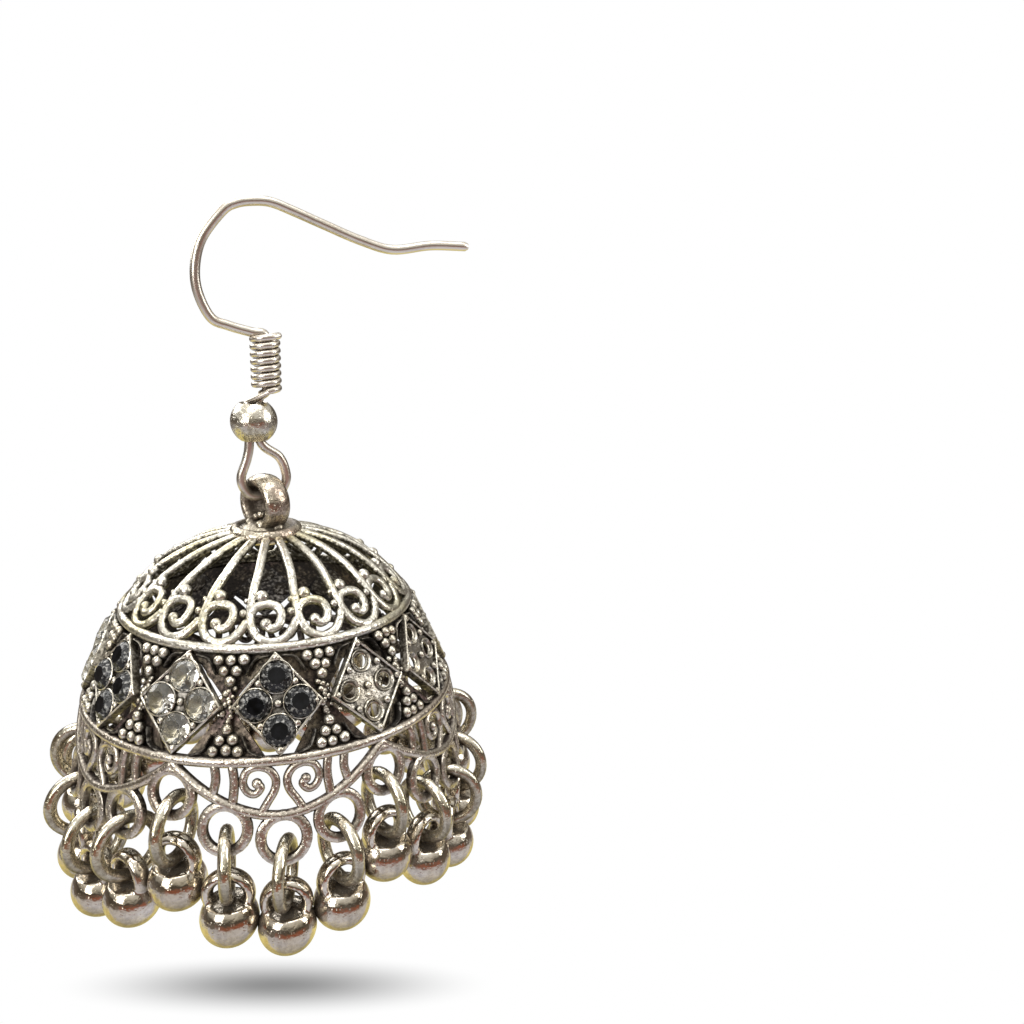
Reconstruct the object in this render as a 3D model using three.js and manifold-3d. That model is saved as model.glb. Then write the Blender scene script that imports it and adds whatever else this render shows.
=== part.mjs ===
// A jhumka earring: a fish-hook ear wire with a bead and a coil, and a cast openwork dome with
// stone-set lozenges and a scalloped skirt, from which twenty-four ball drops hang on jump rings.
// Millimetres, +Z up. The origin is the inside top of the hook, where the ear carries it, and the
// hook lies in the XZ plane. Heights in the tables of sizes are above the middle of the lower rim.

import * as THREE from 'three';
import { mergeVertices } from 'three/addons/utils/BufferGeometryUtils.js';
import Module from 'manifold-3d';

const wasm = await Module();
wasm.setup();

const fullTurn = Math.PI * 2;

// Driving sizes of the ear wire, the loop at its foot and the coil
const wireDiameter = 0.62;
const hookTopHeight = 31.65;
const hookArcReach = 3.65;
const hookTailReach = 14.1;
const coilWire = 0.45;
const coilTurns = 7;
const coilWireGap = 0.03;
const coilInnerGap = 0.22;
const coilRise = 0.52;
const coilShift = 0.4;
const loopHalfWidth = 1.45;
const wireSides = 5;
const coilSteps = 6;

// Driving sizes of the bead threaded on the two legs of the wire
const beadDiameter = 3.0;
const beadBoreGap = 0.12;
const beadHeight = 17.98;
const beadShift = -0.5;
const legGap = 0.08;
const legLap = 0.2;
const beadSides = 14;

// Driving sizes of the dome: its rims, crown and band
const lowerRimRadius = 12.0;
const upperRimRadius = 9.32;
const upperRimHeight = 5.9;
const rimWire = 0.66;
const rimSteps = 24;
const collarRadius = 2.05;
const collarHeight = 10.55;
const collarThickness = 0.75;
const collarLip = 0.22;
const crownBulge = 0.95;
const domeTurn = THREE.MathUtils.degToRad(-9.3);

// Driving sizes of the bail, the strap loop that hangs on the wire
const bailHole = 2.05;
const bailThickness = 0.93;
const bailWidth = 1.8;
const bailEdge = 0.62;
const bailSink = 0.38;
const bailSeat = 0.23;
const bailTurn = THREE.MathUtils.degToRad(22);

// Driving sizes of the pierced patterns
const scallopCount = 6;
const ribsPerScallop = 3;
const lozengesPerScallop = 2;
const eyeletsPerScallop = 4;
const ribWidth = 0.56;
const ribTurn = THREE.MathUtils.degToRad(-1.9);
const lozengeThickness = 0.55;
const lozengeCornerLap = 0.2;
const cupDiameter = 1.9;
const cupHeight = 0.35;
const cupSpread = -0.03;
const granuleDiameter = 0.7;
const granuleProud = 0.12;
const scallopDepth = 2.9;
const scallopRound = 1.8;
const scallopDrop = 0.3;
const scallopWire = 0.62;
const skirtFlare = 0.2;
const panelArch = 0.04;
const panelLap = 0.08;
const panelSteps = 6;
const eyeletHole = 2.0;
const eyeletWire = 0.66;
const eyeletArcStart = THREE.MathUtils.degToRad(62);
const eyeletArc = fullTurn - 2 * eyeletArcStart;
const eyeletArcSteps = 5;

// Driving sizes of the stones
const stoneDiameter = 2.2;
const stoneTable = 1.3;
const stoneHeight = 0.5;
const stoneGirdle = 0.15;
const stoneSides = 8;
const foilThickness = 0.12;

// Driving sizes of the jump rings and the ball drops
const ringLength = 4.6;
const ringWire = 0.82;
const ringSides = 10;
const ringWireSides = 5;
const ballDiameter = 3.5;
const ballSides = 10;
const ballEyeWidth = 3.2;
const ballEyeHole = 1.75;
const ballEyeThickness = 1.1;
const ballEyeSides = 8;
const ballSeatGap = 0.1;
const ballTopLatitude = 40;

// Which lozenges are set with stones, counted round from the front one towards +X
const setLozenges = [
  { name: 'black_stones_front', place: 0, colour: 'black' },
  { name: 'clear_stones_front', place: 11, colour: 'clear' },
  { name: 'black_stones_side', place: 10, colour: 'black' },
  { name: 'clear_stones_side', place: 9, colour: 'clear' },
];

// Clearance kept between pieces that touch on the real earring
const touchGap = 0.06;

const hangHeight = hookTopHeight - wireDiameter / 2;

// Solid helpers: a closed geometry becomes a manifold solid, and solids are joined or cut
function solidOf(geometry) {
  const bare = geometry.clone();
  bare.deleteAttribute('normal');
  bare.deleteAttribute('uv');
  const welded = mergeVertices(bare, 1e-5);
  const mesh = new wasm.Mesh({
    numProp: 3,
    vertProperties: new Float32Array(welded.attributes.position.array),
    triVerts: new Uint32Array(welded.index.array),
  });
  return new wasm.Manifold(mesh);
}

function join(solids) {
  let level = solids;
  while (level.length > 1) {
    const next = [];
    for (let i = 0; i < level.length; i += 2) {
      next.push(i + 1 < level.length ? level[i].add(level[i + 1]) : level[i]);
    }
    level = next;
  }
  return level[0];
}

function geometryOf(solid) {
  const mesh = solid.getMesh();
  const geometry = new THREE.BufferGeometry();
  geometry.setAttribute('position', new THREE.BufferAttribute(mesh.vertProperties, 3));
  geometry.setIndex(new THREE.BufferAttribute(mesh.triVerts, 1));
  geometry.computeVertexNormals();
  return geometry;
}

// A wire of regular section swept along a smooth curve through the points
function wire(points, diameter, sides, steps) {
  const section = new THREE.Shape();
  for (let i = 0; i < sides; i += 1) {
    const angle = (i / sides) * fullTurn;
    const x = (Math.cos(angle) * diameter) / 2;
    const y = (Math.sin(angle) * diameter) / 2;
    if (i === 0) section.moveTo(x, y);
    else section.lineTo(x, y);
  }
  section.closePath();
  const path = new THREE.CatmullRomCurve3(points, false, 'centripetal');
  return new THREE.ExtrudeGeometry(section, { steps, bevelEnabled: false, extrudePath: path });
}

// The point at an azimuth, measured from -Y towards +X, on a circle of the dome
function around(azimuth, radius, height) {
  return new THREE.Vector3(
    Math.sin(azimuth) * radius,
    -Math.cos(azimuth) * radius,
    height - hangHeight,
  );
}

// The crown's profile runs from the upper rim, share 0, to the collar, share 1
const crownRun = new THREE.Vector2(collarRadius - upperRimRadius, collarHeight - upperRimHeight);
const crownLength = crownRun.length();

function crownPoint(azimuth, share, shift = 0) {
  const bulge = crownBulge * 4 * share * (1 - share);
  const radius = upperRimRadius + crownRun.x * share + (crownRun.y / crownLength) * bulge;
  const height = upperRimHeight + crownRun.y * share - (crownRun.x / crownLength) * bulge;
  return around(azimuth + shift / radius, radius, height);
}

// Puts a flat geometry, drawn in x across and y up with z outward, on the dome
function onDome(geometry, azimuth, radius, height, lean) {
  const holder = new THREE.Object3D();
  holder.position.copy(around(azimuth, radius, height));
  holder.rotation.order = 'ZYX';
  holder.rotation.set(Math.PI / 2 - lean, 0, azimuth);
  holder.updateMatrix();
  return geometry.clone().applyMatrix4(holder.matrix);
}

// The stroke round a scroll and the curl inside it, as shares of the pitch between scrolls:
// across to the right of the scroll's middle and up from it
const scrollStroke = [
  { across: -0.34, up: 0.14 },
  { across: -0.27, up: -0.24 },
  { across: 0.06, up: -0.4 },
  { across: 0.4, up: -0.28 },
  { across: 0.6, up: -0.04 },
];
const scrollCurl = [
  { across: -0.37, up: 0.2 },
  { across: -0.06, up: 0.42 },
  { across: 0.22, up: 0.32 },
  { across: 0.28, up: 0.04 },
  { across: 0.1, up: -0.14 },
];
const ribCount = scallopCount * ribsPerScallop;
const ribPitch = fullTurn / ribCount;
const scrollMiddle = (0.5 * ribWidth + 0.4 * upperRimRadius * ribPitch * 0.9) / crownLength;
const scrollPitch = (upperRimRadius + crownRun.x * scrollMiddle) * ribPitch;

function scrollPoints(azimuth, path) {
  return path.map((point) => crownPoint(
    azimuth,
    scrollMiddle + (point.up * scrollPitch) / crownLength,
    point.across * scrollPitch,
  ));
}

function ribWithScroll(azimuth) {
  const footShift = scrollStroke[0].across * scrollPitch;
  const points = [1, 0.8, 0.6, 0.42].map(
    (share) => crownPoint(azimuth, share, footShift * (1 - share)),
  );
  const stroke = wire([...points, ...scrollPoints(azimuth, scrollStroke)], ribWidth, 4, 7);
  const curl = wire(scrollPoints(azimuth, scrollCurl), ribWidth, 4, 4);
  return [solidOf(stroke), solidOf(curl)];
}

// A rim: a wire ring round the dome
function rim(radius, height) {
  const ring = new THREE.TorusGeometry(radius, rimWire / 2, 4, rimSteps);
  return ring.translate(0, 0, height - hangHeight);
}

// The collar is a turned button that carries the bail and gathers the ribs
function collar() {
  const lip = collarRadius + collarLip;
  const profile = [
    new THREE.Vector2(0, -collarThickness / 2),
    new THREE.Vector2(collarRadius, -collarThickness / 2),
    new THREE.Vector2(lip, 0),
    new THREE.Vector2(collarRadius - collarLip, collarThickness / 2),
    new THREE.Vector2(0, collarThickness * 0.8),
  ];
  const turned = new THREE.LatheGeometry(profile, 12).rotateX(Math.PI / 2);
  return turned.translate(0, 0, collarHeight - hangHeight);
}

// The bail stands on the collar and its strap is a flat ring
const bailOuterRadius = bailHole / 2 + bailThickness;
const bailHeight = collarHeight + collarThickness / 2 + bailOuterRadius - bailSink;

function bail() {
  const inner = bailHole / 2;
  const waist = inner + bailThickness / 2;
  const profile = [
    [inner, -bailEdge], [waist, -1], [bailOuterRadius, -bailEdge],
    [bailOuterRadius, bailEdge], [waist, 1], [inner, bailEdge], [inner, -bailEdge],
  ].map(([radius, side]) => new THREE.Vector2(radius, (side * bailWidth) / 2));
  const strap = new THREE.LatheGeometry(profile, 14);
  strap.rotateZ(Math.PI / 2).rotateZ(bailTurn);
  return strap.translate(0, 0, bailHeight - hangHeight);
}

// The band between the rims leans inwards, and carries the lozenges
const lozengeCount = scallopCount * lozengesPerScallop;
const lozengePitch = fullTurn / lozengeCount;
const bandLean = Math.atan2(lowerRimRadius - upperRimRadius, upperRimHeight);
const bandRadius = (lowerRimRadius + upperRimRadius) / 2;
const bandHeight = upperRimHeight / 2;
const lozengeHalfHeight = upperRimHeight / 2 / Math.cos(bandLean);
const lozengeHalfWidth = bandRadius * Math.tan(lozengePitch / 2) + lozengeCornerLap;
const cupOffset = lozengeHalfWidth / 2 + cupSpread;
const cupPlaces = [[0, 1], [1, 0], [0, -1], [-1, 0]].map(
  ([across, up]) => new THREE.Vector2(across * cupOffset, up * cupOffset),
);

function polygon(target, x, y, diameter, sides) {
  for (let i = 0; i < sides; i += 1) {
    const angle = ((i + 0.5) / sides) * fullTurn;
    const px = x + (Math.cos(angle) * diameter) / 2;
    const py = y + (Math.sin(angle) * diameter) / 2;
    if (i === 0) target.moveTo(px, py);
    else target.lineTo(px, py);
  }
  target.closePath();
  return target;
}

// A bare lozenge has four raised cups; a set one is a plain bed for its stones
function lozenge(azimuth, isSet) {
  const plate = new THREE.Shape();
  plate.moveTo(0, -lozengeHalfHeight);
  plate.lineTo(lozengeHalfWidth, 0);
  plate.lineTo(0, lozengeHalfHeight);
  plate.lineTo(-lozengeHalfWidth, 0);
  plate.closePath();
  const flat = { depth: lozengeThickness, bevelEnabled: false };
  const raised = { depth: lozengeThickness / 2 + cupHeight, bevelEnabled: false };
  const shapes = [new THREE.ExtrudeGeometry(plate, flat).translate(0, 0, -lozengeThickness / 2)];
  if (!isSet) {
    cupPlaces.forEach((place) => {
      const cup = polygon(new THREE.Shape(), place.x, place.y, cupDiameter, 6);
      shapes.push(new THREE.ExtrudeGeometry(cup, raised));
    });
  }
  return shapes.map((geometry) => solidOf(
    onDome(geometry, azimuth, bandRadius, bandHeight, bandLean),
  ));
}

// Rows of granules fill the corners between lozenges; each group is one three-sided plate here
function granuleGroup(azimuth, side) {
  const base = granuleDiameter * 3;
  const tall = granuleDiameter * 2.7;
  const shape = new THREE.Shape();
  shape.moveTo(-base / 2, side * 0.15);
  shape.lineTo(base / 2, side * 0.15);
  shape.lineTo(0, -side * tall);
  shape.closePath();
  const depth = granuleDiameter * 0.7;
  const plate = new THREE.ExtrudeGeometry(shape, { depth, bevelEnabled: false });
  plate.translate(0, side * lozengeHalfHeight, granuleProud - depth / 2);
  return onDome(plate, azimuth, bandRadius, bandHeight, bandLean);
}

// The skirt's scallops: each is a flat pierced panel, bent round the skirt, with its eyelets
const scallopPitch = fullTurn / scallopCount;
const eyeletRadius = (eyeletHole + eyeletWire) / 2;
const panelRadius = lowerRimRadius + (scallopDrop + scallopDepth + eyeletRadius) * skirtFlare;
const scallopHalfWidth = (panelRadius * scallopPitch) / 2;

function scallopHeight(share) {
  return -scallopDrop - scallopDepth * (1 - Math.abs(share) ** scallopRound);
}

function scallopSlope(share) {
  const steepness = scallopDepth * scallopRound * Math.abs(share) ** (scallopRound - 1);
  return (Math.sign(share) * steepness) / scallopHalfWidth;
}

// Eyelets hang below the scallops' edge, from one cusp to the next
const eyeletCount = scallopCount * eyeletsPerScallop;
const eyeletPitch = fullTurn / eyeletCount;

function eyeletPlace(index) {
  const step = index % eyeletsPerScallop;
  const share = (step / eyeletsPerScallop) * 2 - 1;
  const height = scallopHeight(share) - eyeletRadius * Math.hypot(1, scallopSlope(share));
  const azimuth = domeTurn - scallopPitch / 2 + index * eyeletPitch;
  const across = share * scallopHalfWidth;
  return { share, across, azimuth, height, radius: lowerRimRadius - height * skirtFlare };
}

function panelTop(share) {
  return rimWire / 2 - (1 - share * share) * panelArch;
}

// The panel's outline: its top strip is the lower rim, hollowed a hair, and from there it goes down
// and round the outside of each eyelet from right to left
function scallopOutline() {
  const points = [];
  for (let i = 0; i <= panelSteps; i += 1) {
    const share = (i / panelSteps) * 2 - 1;
    points.push(new THREE.Vector2(share * scallopHalfWidth, panelTop(share)));
  }
  const half = scallopWire / 2;
  points.push(new THREE.Vector2(scallopHalfWidth, scallopHeight(1) - half));
  const outer = eyeletRadius + eyeletWire / 2;
  for (let index = eyeletsPerScallop - 1; index >= 0; index -= 1) {
    const place = eyeletPlace(index);
    const middle = place.share + 1 / eyeletsPerScallop;
    points.push(new THREE.Vector2(middle * scallopHalfWidth, scallopHeight(middle) - half));
    const lean = index === 0 ? 0 : Math.atan(scallopSlope(place.share));
    for (let i = 0; i <= eyeletArcSteps; i += 1) {
      const angle = Math.PI / 2 + lean - eyeletArcStart - (i / eyeletArcSteps) * eyeletArc;
      points.push(new THREE.Vector2(
        place.across + Math.cos(angle) * outer,
        place.height + Math.sin(angle) * outer,
      ));
    }
  }
  points.push(new THREE.Vector2(-scallopHalfWidth - panelLap, scallopHeight(1) - half));
  points.push(new THREE.Vector2(-scallopHalfWidth - panelLap, panelTop(1) - 0.02));
  return new THREE.Shape(points.reverse());
}

// The gaps of one side of a scallop, as shares of its half width and of the depth down to its
// edge there: beside the cusp, beside the post, inside the spiral with its curl
const gapOutlines = [
  [[0.56, 0], [0.82, 0], [0.56, 1]],
  [[0.42, 0], [0.5, 0], [0.5, 1], [0.42, 1], [0.36, 0.5]],
  [
    [0.06, 0.3], [0.14, 0.04], [0.28, 0], [0.36, 0.2], [0.3, 0.5], [0.15, 0.5], [0.2, 0.26],
  ],
  [[0.03, 0.44], [0.14, 0.68], [0.33, 0.64], [0.35, 1], [0.16, 1]],
];

function gapPath(outline, side) {
  const path = new THREE.Path();
  outline.forEach(([share, down], i) => {
    const top = panelTop(share) - rimWire;
    const foot = scallopHeight(share) + scallopWire / 2;
    const x = side * share * scallopHalfWidth;
    const y = THREE.MathUtils.lerp(top, foot, down);
    if (i === 0) path.moveTo(x, y);
    else path.lineTo(x, y);
  });
  path.closePath();
  return path;
}

function scallopPanel(azimuth) {
  const shape = scallopOutline();
  for (const side of [-1, 1]) {
    gapOutlines.forEach((outline) => shape.holes.push(gapPath(outline, side)));
  }
  for (let index = 0; index < eyeletsPerScallop; index += 1) {
    const place = eyeletPlace(index);
    shape.holes.push(polygon(new THREE.Path(), place.across, place.height, eyeletHole, 8));
  }
  const panel = new THREE.ExtrudeGeometry(shape, { depth: scallopWire, bevelEnabled: false });
  const positions = panel.attributes.position;
  for (let i = 0; i < positions.count; i += 1) {
    const turn = positions.getX(i) / panelRadius;
    const height = positions.getY(i);
    const lift = positions.getZ(i) - scallopWire / 2;
    const radius = lowerRimRadius - height * skirtFlare + lift;
    const point = around(azimuth + turn, radius, height);
    positions.setXYZ(i, point.x, point.y, point.z);
  }
  return panel;
}

function domeSolid() {
  const solids = [
    rim(upperRimRadius, upperRimHeight), collar(), bail(),
  ].map(solidOf);
  for (let i = 0; i < ribCount; i += 1) {
    solids.push(...ribWithScroll(domeTurn + ribTurn + i * ribPitch));
  }
  for (let i = 0; i < lozengeCount; i += 1) {
    const azimuth = domeTurn + i * lozengePitch;
    const between = azimuth + lozengePitch / 2;
    solids.push(...lozenge(azimuth, setLozenges.some((set) => set.place === i)));
    solids.push(solidOf(granuleGroup(between, 1)), solidOf(granuleGroup(between, -1)));
  }
  for (let i = 0; i < scallopCount; i += 1) {
    solids.push(solidOf(scallopPanel(domeTurn + i * scallopPitch)));
  }
  return join(solids);
}

// Four flat-backed faceted stones lie on one foil in each set lozenge
function stoneCluster(place) {
  const profile = [
    new THREE.Vector2(0, 0),
    new THREE.Vector2(stoneDiameter / 2, 0),
    new THREE.Vector2(stoneDiameter / 2, stoneGirdle),
    new THREE.Vector2(stoneTable / 2, stoneHeight),
    new THREE.Vector2(0, stoneHeight),
  ];
  const stone = new THREE.LatheGeometry(profile, stoneSides).rotateX(Math.PI / 2);
  const bed = lozengeThickness / 2 + touchGap;
  const corners = cupPlaces.map((cup) => cup.clone());
  const foil = new THREE.ExtrudeGeometry(
    new THREE.Shape(corners),
    { depth: foilThickness, bevelEnabled: false },
  );
  const stones = cupPlaces.map((cup) => stone.clone().translate(cup.x, cup.y, bed));
  const azimuth = domeTurn + place * lozengePitch;
  return join([foil.translate(0, 0, bed), ...stones].map((geometry) => solidOf(
    onDome(geometry, azimuth, bandRadius, bandHeight, bandLean),
  )));
}

// The jump rings stand edge on, in planes through the dome's axis
const ringRadius = (ringLength - ringWire) / 2;

function ringMiddle(index) {
  const place = eyeletPlace(index);
  const sill = (eyeletHole / 2) * Math.cos(Math.PI / 8);
  const top = place.height - sill + ringWire / 2 + touchGap;
  return { ...place, height: top - ringRadius };
}

function jumpRing(index) {
  const ring = new THREE.TorusGeometry(ringRadius, ringWire / 2, ringWireSides, ringSides);
  ring.rotateZ(Math.PI / 2).rotateY(Math.PI / 2);
  const place = ringMiddle(index);
  return onDome(ring, place.azimuth, place.radius, place.height, 0);
}

// A ball drop: a ball with a flat top, and a broad arched eye whose hole runs in and out from the
// dome. The ring's wire passes through the middle of the eye
function ballDrop(index) {
  const radius = ballDiameter / 2;
  const profile = [new THREE.Vector2(0, -radius)];
  for (const latitude of [-45, 0, ballTopLatitude]) {
    const angle = THREE.MathUtils.degToRad(latitude);
    profile.push(new THREE.Vector2(Math.cos(angle) * radius, Math.sin(angle) * radius));
  }
  const top = radius * Math.sin(THREE.MathUtils.degToRad(ballTopLatitude));
  profile.push(new THREE.Vector2(0, top));
  const ball = new THREE.LatheGeometry(profile, ballSides);
  ball.translate(0, -top - ringWire / 2 - ballSeatGap, 0);
  const hole = ballEyeHole / 2;
  const strap = [[hole, -1], [ballEyeWidth / 2, -1], [ballEyeWidth / 2, 1], [hole, 1], [hole, -1]];
  const eye = new THREE.LatheGeometry(
    strap.map(([across, side]) => new THREE.Vector2(across, (side * ballEyeThickness) / 2)),
    ballEyeSides,
  );
  eye.rotateX(Math.PI / 2);
  const place = ringMiddle(index);
  const height = place.height - ringRadius;
  return join([ball, eye].map((geometry) => solidOf(
    onDome(geometry, place.azimuth, place.radius, height, 0),
  )));
}

// The round bead, drilled for the two legs of the wire
function bead() {
  const bore = wireDiameter + legGap / 2 + beadBoreGap;
  const radius = beadDiameter / 2;
  const mouth = Math.acos(bore / radius);
  const profile = [];
  for (let i = 0; i <= 6; i += 1) {
    const angle = THREE.MathUtils.lerp(-mouth, mouth, i / 6);
    profile.push(new THREE.Vector2(Math.cos(angle) * radius, Math.sin(angle) * radius));
  }
  profile.push(profile[0].clone());
  const turned = new THREE.LatheGeometry(profile, beadSides).rotateX(Math.PI / 2);
  return turned.translate(beadShift, 0, beadHeight - hangHeight);
}

// The hook's centreline in the XZ plane, from the tail's tip to the stem above the coil: across
// in shares of the reach on its own side, and down in shares of the hook's height over the coil
const loopBottom = bailHeight + bailHole / 2 - bailSeat - wireDiameter / 2;
const hookPath = [
  { reach: hookTailReach, across: 1, drop: 0.29 },
  { reach: hookTailReach, across: 0.82, drop: 0.29 },
  { reach: hookTailReach, across: 0.635, drop: 0.329 },
  { reach: hookTailReach, across: 0.48, drop: 0.263 },
  { reach: hookTailReach, across: 0.325, drop: 0.163 },
  { reach: hookTailReach, across: 0.185, drop: 0.069 },
  { reach: hookTailReach, across: 0.08, drop: 0.006 },
  { reach: hookTailReach, across: 0, drop: 0 },
  { reach: hookArcReach, across: -0.29, drop: 0.022 },
  { reach: hookArcReach, across: -0.52, drop: 0.084 },
  { reach: hookArcReach, across: -0.87, drop: 0.283 },
  { reach: hookArcReach, across: -1, drop: 0.49 },
  { reach: hookArcReach, across: -0.97, drop: 0.675 },
  { reach: hookArcReach, across: -0.78, drop: 0.854 },
  { reach: hookArcReach, across: -0.5, drop: 0.912 },
  { reach: hookArcReach, across: -0.12, drop: 0.962 },
];

function hookPoint(x, height) {
  return new THREE.Vector3(x, 0, height - hangHeight);
}

function earWireSolid() {
  const legOffset = wireDiameter / 2 + legGap / 2;
  const beadTop = beadHeight + beadDiameter / 2;
  const beadFoot = beadHeight - beadDiameter / 2;
  const coilBottom = beadTop + coilRise;
  const coilPitch = coilWire + coilWireGap;
  const coilTop = coilBottom + coilPitch * coilTurns;
  const points = hookPath.map((p) => hookPoint(
    p.reach * p.across,
    THREE.MathUtils.lerp(hookTopHeight, coilTop, p.drop),
  ));
  const loopHeight = beadFoot - loopBottom;
  const loopSide = [[0.72, 0.73], [1, 0.41], [0.94, 0.2], [0.6, 0.022]].map(
    ([across, up]) => [across * loopHalfWidth, loopBottom + up * loopHeight],
  );
  const legs = [
    [coilShift, coilTop + wireDiameter / 5],
    [coilShift, coilTop - 2 * coilPitch],
    [coilShift, (coilTop + coilBottom) / 2],
    [coilShift, coilBottom],
    [beadShift + legOffset, beadTop - legLap],
    [beadShift + legOffset, beadFoot + legLap],
    ...loopSide,
    [0, loopBottom],
    ...loopSide.reverse().map(([x, height]) => [-x, height]),
    [beadShift - legOffset, beadFoot + legLap],
    [beadShift - legOffset, beadTop - 2 * legLap],
  ];
  legs.forEach(([x, height]) => points.push(hookPoint(x, height)));
  const stem = solidOf(wire(points, wireDiameter, wireSides, 64));
  const coilRadius = (wireDiameter + coilWire) / 2 + coilInnerGap;
  const coilPoints = [
    hookPoint(beadShift - legOffset, beadTop - 6 * legLap),
    hookPoint(beadShift - legOffset, beadTop - legLap / 2),
  ];
  for (let i = 1; i <= coilTurns * coilSteps; i += 1) {
    const angle = (i / coilSteps) * fullTurn - Math.PI / 2;
    coilPoints.push(new THREE.Vector3(
      coilShift + Math.cos(angle) * coilRadius,
      Math.sin(angle) * coilRadius,
      coilBottom + (coilPitch * i) / coilSteps - hangHeight,
    ));
  }
  const coil = solidOf(wire(coilPoints, coilWire, wireSides, coilTurns * coilSteps + 3));
  return join([stem, coil]);
}

const silver = { color: 0x9a9186, roughness: 0.38, metalness: 1 };
const brightSilver = { color: 0xb9b2a6, roughness: 0.25, metalness: 1 };
const blackStone = { color: 0x0b0b0c, roughness: 0.08, metalness: 0 };
const clearStone = { color: 0xc9c8bd, roughness: 0.08, metalness: 0 };

const jhumka = new THREE.Group();

function addPiece(name, geometry, finish) {
  const mesh = new THREE.Mesh(geometry, new THREE.MeshStandardMaterial(finish));
  mesh.name = name;
  jhumka.add(mesh);
}

addPiece('ear_wire', geometryOf(earWireSolid()), brightSilver);
addPiece('hook_bead', bead(), brightSilver);
addPiece('dome', geometryOf(domeSolid()), silver);
setLozenges.forEach((set) => {
  const finish = set.colour === 'black' ? blackStone : clearStone;
  addPiece(set.name, geometryOf(stoneCluster(set.place)), finish);
});
for (let i = 0; i < eyeletCount; i += 1) {
  const number = String(i + 1).padStart(2, '0');
  addPiece(`jump_ring_${number}`, jumpRing(i), silver);
  addPiece(`ball_drop_${number}`, geometryOf(ballDrop(i)), silver);
}

export default jhumka;
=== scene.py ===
# %% [markdown]
# # A jhumka earring
# A jhumka is a bell-shaped earring. This one is cast in an oxidised silver tone: its high places
# are rubbed bright and its recesses stay dark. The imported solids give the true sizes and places,
# and this lesson builds the fine casting over them, one kind of part at a time.

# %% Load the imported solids
import math

import bpy
from mathutils import Matrix, Vector
from mathutils.geometry import tessellate_polygon


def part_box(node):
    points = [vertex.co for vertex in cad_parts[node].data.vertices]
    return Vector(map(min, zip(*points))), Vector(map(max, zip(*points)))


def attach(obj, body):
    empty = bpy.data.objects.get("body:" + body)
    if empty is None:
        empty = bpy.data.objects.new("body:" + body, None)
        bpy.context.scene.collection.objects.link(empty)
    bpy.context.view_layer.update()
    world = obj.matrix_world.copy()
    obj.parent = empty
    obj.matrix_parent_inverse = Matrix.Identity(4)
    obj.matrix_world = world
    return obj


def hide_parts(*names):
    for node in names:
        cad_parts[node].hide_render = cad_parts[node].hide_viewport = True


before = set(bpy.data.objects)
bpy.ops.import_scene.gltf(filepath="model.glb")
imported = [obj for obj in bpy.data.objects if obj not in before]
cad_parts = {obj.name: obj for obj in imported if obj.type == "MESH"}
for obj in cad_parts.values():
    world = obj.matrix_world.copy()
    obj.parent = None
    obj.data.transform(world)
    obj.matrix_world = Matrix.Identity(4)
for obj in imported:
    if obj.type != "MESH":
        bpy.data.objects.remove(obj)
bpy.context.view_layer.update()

# %% [markdown]
# ## Sizes
# A maker thinks in millimetres, and the scene counts in metres, so the shapes are worked out in
# millimetres and turned into metres when a mesh is made. Heights are above the middle of the
# dome's lower rim, and the origin is the inside top of the hook.

# %% The driving sizes, in millimetres
MM = 0.001
TURN = 2 * math.pi
HANG = 31.34
LOWER_RIM, UPPER_RIM, UPPER_HEIGHT = 12.0, 9.32, 5.9
COLLAR_RADIUS, COLLAR_HEIGHT, COLLAR_THICKNESS = 2.05, 10.55, 0.75
CROWN_BULGE = 0.95
RIM_WIRE, RIM_STEPS = 0.66, 144
DOME_TURN = math.radians(-9.3)
SCALLOPS, RIBS, LOZENGES, EYELETS = 6, 18, 12, 24
SKIRT_FLARE = 0.2
BEAD_DIAMETER = 3.0
WIRE, COIL_WIRE = 0.62, 0.45
BALL_DIAMETER = 3.5
print("the lower rim is", 2 * LOWER_RIM, "mm across and", HANG, "mm below the hook's inside top")

# %% [markdown]
# ## Places on the dome
# Every ornament lies on a turned surface, so it is drawn flat, as a pattern, and then laid on
# the surface. An azimuth turns from the front towards +X. The direction that the surface faces
# comes from two small steps along it.


# %% Where a point of the dome lies
def around(azimuth, radius, height):
    """The point at an azimuth, a radius and a height of the dome."""
    return Vector((math.sin(azimuth) * radius, -math.cos(azimuth) * radius, height - HANG))


crown_run = Vector((COLLAR_RADIUS - UPPER_RIM, COLLAR_HEIGHT - UPPER_HEIGHT))


def crown(azimuth, share, shift=0.0):
    """The crown's surface, from the upper rim at share 0 to the collar at share 1."""
    bulge = CROWN_BULGE * 4 * share * (1 - share) / crown_run.length
    radius = UPPER_RIM + crown_run.x * share + crown_run.y * bulge
    height = UPPER_HEIGHT + crown_run.y * share - crown_run.x * bulge
    return around(azimuth + shift / radius, radius, height)


def skirt(azimuth, across, height):
    """The skirt's surface under the lower rim, at a distance across from an azimuth."""
    radius = LOWER_RIM - height * SKIRT_FLARE
    return around(azimuth + across / radius, radius, height)


def facing(surface, u, v, step=0.01):
    """A point of a surface and the direction that it faces there."""
    point = surface(u, v)
    to_right = surface(u + step, v) - point
    upwards = surface(u, v + step) - point
    return point, to_right.cross(upwards).normalized()


def smooth(points, steps):
    """A soft line through the points, with the given steps to each stretch."""
    ends = [2 * points[0] - points[1], *points, 2 * points[-1] - points[-2]]
    line = []
    for i in range(1, len(ends) - 2):
        a, b, c, d = ends[i - 1:i + 3]
        for k in range(steps):
            t = k / steps
            bend = (2 * a - 5 * b + 4 * c - d) * t * t + (3 * b - a - 3 * c + d) * t ** 3
            line.append((2 * b + (c - a) * t + bend) / 2)
    line.append(points[-1])
    return line


print("the crown's slope is", round(crown_run.length, 2), "mm long")

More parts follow.
